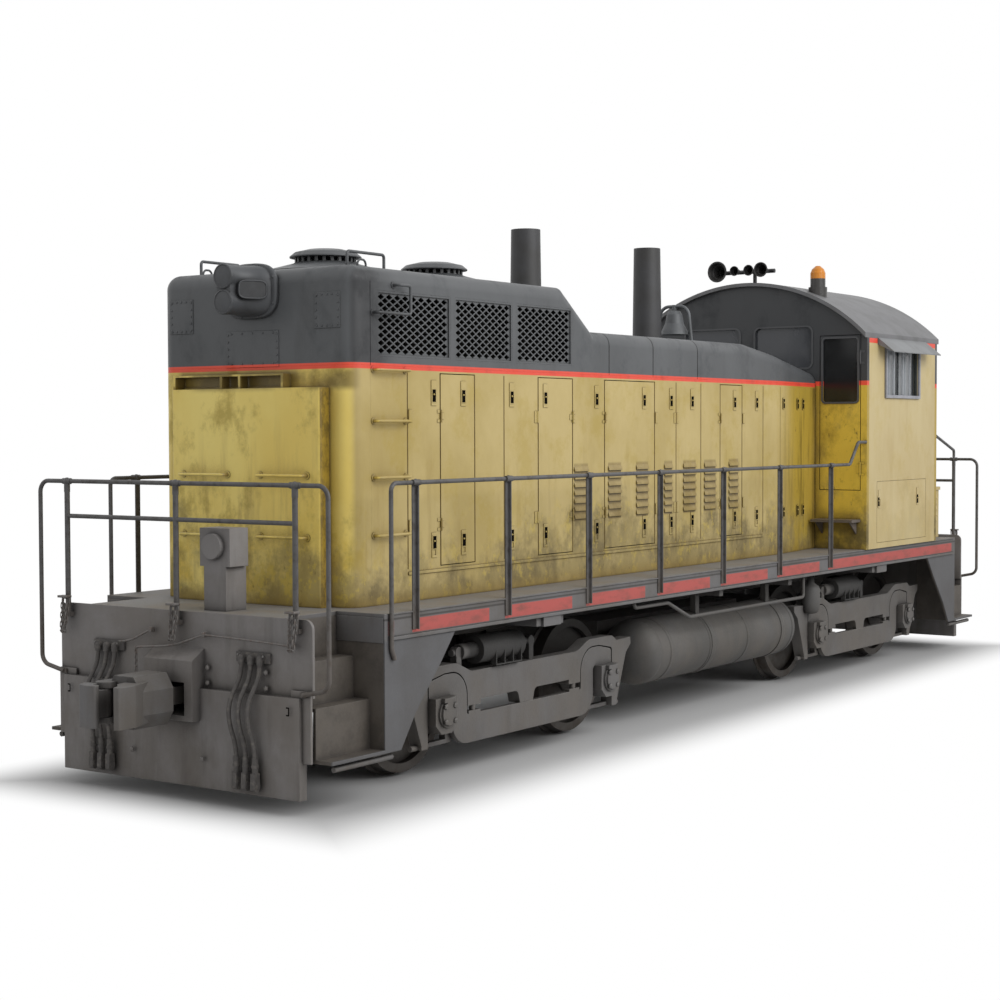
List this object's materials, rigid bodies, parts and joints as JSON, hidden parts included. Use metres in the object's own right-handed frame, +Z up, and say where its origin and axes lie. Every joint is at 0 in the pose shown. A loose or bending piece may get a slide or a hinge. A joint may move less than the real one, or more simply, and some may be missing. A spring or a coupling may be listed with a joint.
{
  "type": "diesel switching locomotive",
  "caption": "End-cab diesel switching locomotive with long louvred hood, arched cab, walkway handrails, swivelling trucks, knuckle couplers and opening doors.",
  "frame": {"origin": "on the floor under the middle of the locomotive, where the wheel flanges stand", "axes": "+X towards the hood end, +Y to the left side, +Z up"},
  "size_m": [14.239, 3.314, 4.6699],
  "materials": {
    "frame_grey": "matt grey paint, dusty",
    "rail_grey": "matt dark grey paint, worn",
    "hose_rubber": "aged air hose",
    "cast_grey": "painted castings, dusty",
    "body_yellow": "semi-matt yellow paint, heavily soiled, with an orange-red stripe at the eave",
    "roof_grey": "dark grey paint",
    "engine_grey": "grey enamel",
    "cab_glass": "safety glass",
    "beacon_amber": "amber lens",
    "wheel_steel": "rolled steel, dirty, with bright treads"
  },
  "bodies": {
    "platform": {"underframe": "frame_grey", "end_plate_front": "frame_grey", "end_plate_rear": "frame_grey", "step_wells": "frame_grey", "fuel_tank": "frame_grey", "air_reservoirs": "frame_grey", "side_handrails": "rail_grey", "end_handrails": "rail_grey", "air_hoses": "hose_rubber", "hose_couplings": "cast_grey", "control_pedestal": "frame_grey", "hood_side_left": "body_yellow", "hood_side_right": "body_yellow", "hood_nose": "body_yellow", "hood_roof": "roof_grey", "radiator_grilles": "roof_grey", "grab_irons": "body_yellow", "fan_housings": "roof_grey", "exhaust_stacks": "roof_grey", "bell": "roof_grey", "headlights": "roof_grey", "engine_block": "engine_grey", "cab_front_wall": "body_yellow", "cab_rear_wall": "body_yellow", "cab_side_left": "body_yellow", "cab_side_right": "body_yellow", "cab_roof": "roof_grey", "cab_interior": "engine_grey", "cab_glass": "cab_glass", "sunshades": "roof_grey", "battery_box": "body_yellow", "horn": "roof_grey", "beacon": "beacon_amber"},
    "truck_front": {"truck_frame_front": "cast_grey", "equalizers_front": "cast_grey"},
    "wheelset_front_leading": {"wheelset_front_leading": "wheel_steel"},
    "wheelset_front_trailing": {"wheelset_front_trailing": "wheel_steel"},
    "coupler_front": {"coupler_front": "cast_grey"},
    "knuckle_front": {"knuckle_front": "cast_grey"},
    "cab_door_front": {"cab_door_front": "body_yellow", "cab_door_pane_front": "cab_glass"},
    "fan_rotor_front": {"fan_rotor_front": "engine_grey"},
    "truck_rear": {"truck_frame_rear": "cast_grey", "equalizers_rear": "cast_grey"},
    "wheelset_rear_leading": {"wheelset_rear_leading": "wheel_steel"},
    "wheelset_rear_trailing": {"wheelset_rear_trailing": "wheel_steel"},
    "coupler_rear": {"coupler_rear": "cast_grey"},
    "knuckle_rear": {"knuckle_rear": "cast_grey"},
    "cab_door_rear": {"cab_door_rear": "body_yellow", "cab_door_pane_rear": "cab_glass"},
    "fan_rotor_rear": {"fan_rotor_rear": "engine_grey"},
    "hood_door_left_b": {"hood_door_left_b": "body_yellow"},
    "hood_door_left_e": {"hood_door_left_e": "body_yellow"},
    "hood_door_left_g": {"hood_door_left_g": "body_yellow"},
    "hood_door_left_k": {"hood_door_left_k": "body_yellow"},
    "hood_door_right_b": {"hood_door_right_b": "body_yellow"},
    "hood_door_right_e": {"hood_door_right_e": "body_yellow"},
    "hood_door_right_g": {"hood_door_right_g": "body_yellow"},
    "hood_door_right_k": {"hood_door_right_k": "body_yellow"}
  },
  "joints": [
    {"name": "truck_front_swivel", "type": "hinge", "parent": "platform", "child": "truck_front", "pos_m": [3.39, 0, 0.88], "axis": [0, 0, 1], "range_deg": [-6, 6]},
    {"name": "wheelset_front_leading_spin", "type": "hinge", "parent": "truck_front", "child": "wheelset_front_leading", "pos_m": [4.609, 0, 0.536], "axis": [0, 1, 0], "continuous": true},
    {"name": "wheelset_front_trailing_spin", "type": "hinge", "parent": "truck_front", "child": "wheelset_front_trailing", "pos_m": [2.171, 0, 0.536], "axis": [0, 1, 0], "continuous": true},
    {"name": "coupler_front_swing", "type": "hinge", "parent": "platform", "child": "coupler_front", "pos_m": [5.64, 0, 0.79], "axis": [0, 0, 1], "range_deg": [-6, 6]},
    {"name": "knuckle_front_open", "type": "hinge", "parent": "coupler_front", "child": "knuckle_front", "pos_m": [6.885, -0.14, 0.79], "axis": [0, 0, -1], "range_deg": [0, 35]},
    {"name": "cab_door_front_hinge", "type": "hinge", "parent": "platform", "child": "cab_door_front", "pos_m": [-2.887, 1.391, 2.9], "axis": [0, 0, 1], "range_deg": [0, 90]},
    {"name": "fan_rotor_front_spin", "type": "hinge", "parent": "platform", "child": "fan_rotor_front", "pos_m": [4.55, 0, 3.88], "axis": [0, 0, 1], "continuous": true},
    {"name": "truck_rear_swivel", "type": "hinge", "parent": "platform", "child": "truck_rear", "pos_m": [-3.39, 0, 0.88], "axis": [0, 0, 1], "range_deg": [-6, 6]},
    {"name": "wheelset_rear_leading_spin", "type": "hinge", "parent": "truck_rear", "child": "wheelset_rear_leading", "pos_m": [-2.171, 0, 0.536], "axis": [0, 1, 0], "continuous": true},
    {"name": "wheelset_rear_trailing_spin", "type": "hinge", "parent": "truck_rear", "child": "wheelset_rear_trailing", "pos_m": [-4.609, 0, 0.536], "axis": [0, 1, 0], "continuous": true},
    {"name": "coupler_rear_swing", "type": "hinge", "parent": "platform", "child": "coupler_rear", "pos_m": [-5.64, 0, 0.79], "axis": [0, 0, 1], "range_deg": [-6, 6]},
    {"name": "knuckle_rear_open", "type": "hinge", "parent": "coupler_rear", "child": "knuckle_rear", "pos_m": [-6.885, 0.14, 0.79], "axis": [0, 0, -1], "range_deg": [0, 35]},
    {"name": "cab_door_rear_hinge", "type": "hinge", "parent": "platform", "child": "cab_door_rear", "pos_m": [-4.938, -1.391, 2.9], "axis": [0, 0, 1], "range_deg": [0, 90]},
    {"name": "fan_rotor_rear_spin", "type": "hinge", "parent": "platform", "child": "fan_rotor_rear", "pos_m": [3.08, 0, 3.88], "axis": [0, 0, 1], "continuous": true},
    {"name": "hood_door_left_b_hinge", "type": "hinge", "parent": "platform", "child": "hood_door_left_b", "pos_m": [4.3275, 0.998, 2.425], "axis": [0, 0, -1], "range_deg": [0, 65]},
    {"name": "hood_door_left_e_hinge", "type": "hinge", "parent": "platform", "child": "hood_door_left_e", "pos_m": [2.3805, 0.998, 2.425], "axis": [0, 0, 1], "range_deg": [0, 52]},
    {"name": "hood_door_left_g_hinge", "type": "hinge", "parent": "platform", "child": "hood_door_left_g", "pos_m": [1.8365, 0.998, 2.425], "axis": [0, 0, -1], "range_deg": [0, 28]},
    {"name": "hood_door_left_k_hinge", "type": "hinge", "parent": "platform", "child": "hood_door_left_k", "pos_m": [-0.3755, 0.998, 2.425], "axis": [0, 0, -1], "range_deg": [0, 65]},
    {"name": "hood_door_right_b_hinge", "type": "hinge", "parent": "platform", "child": "hood_door_right_b", "pos_m": [4.3275, -0.998, 2.425], "axis": [0, 0, 1], "range_deg": [0, 65]},
    {"name": "hood_door_right_e_hinge", "type": "hinge", "parent": "platform", "child": "hood_door_right_e", "pos_m": [2.3805, -0.998, 2.425], "axis": [0, 0, -1], "range_deg": [0, 52]},
    {"name": "hood_door_right_g_hinge", "type": "hinge", "parent": "platform", "child": "hood_door_right_g", "pos_m": [1.8365, -0.998, 2.425], "axis": [0, 0, 1], "range_deg": [0, 28]},
    {"name": "hood_door_right_k_hinge", "type": "hinge", "parent": "platform", "child": "hood_door_right_k", "pos_m": [-0.3755, -0.998, 2.425], "axis": [0, 0, 1], "range_deg": [0, 65]}
  ]
}
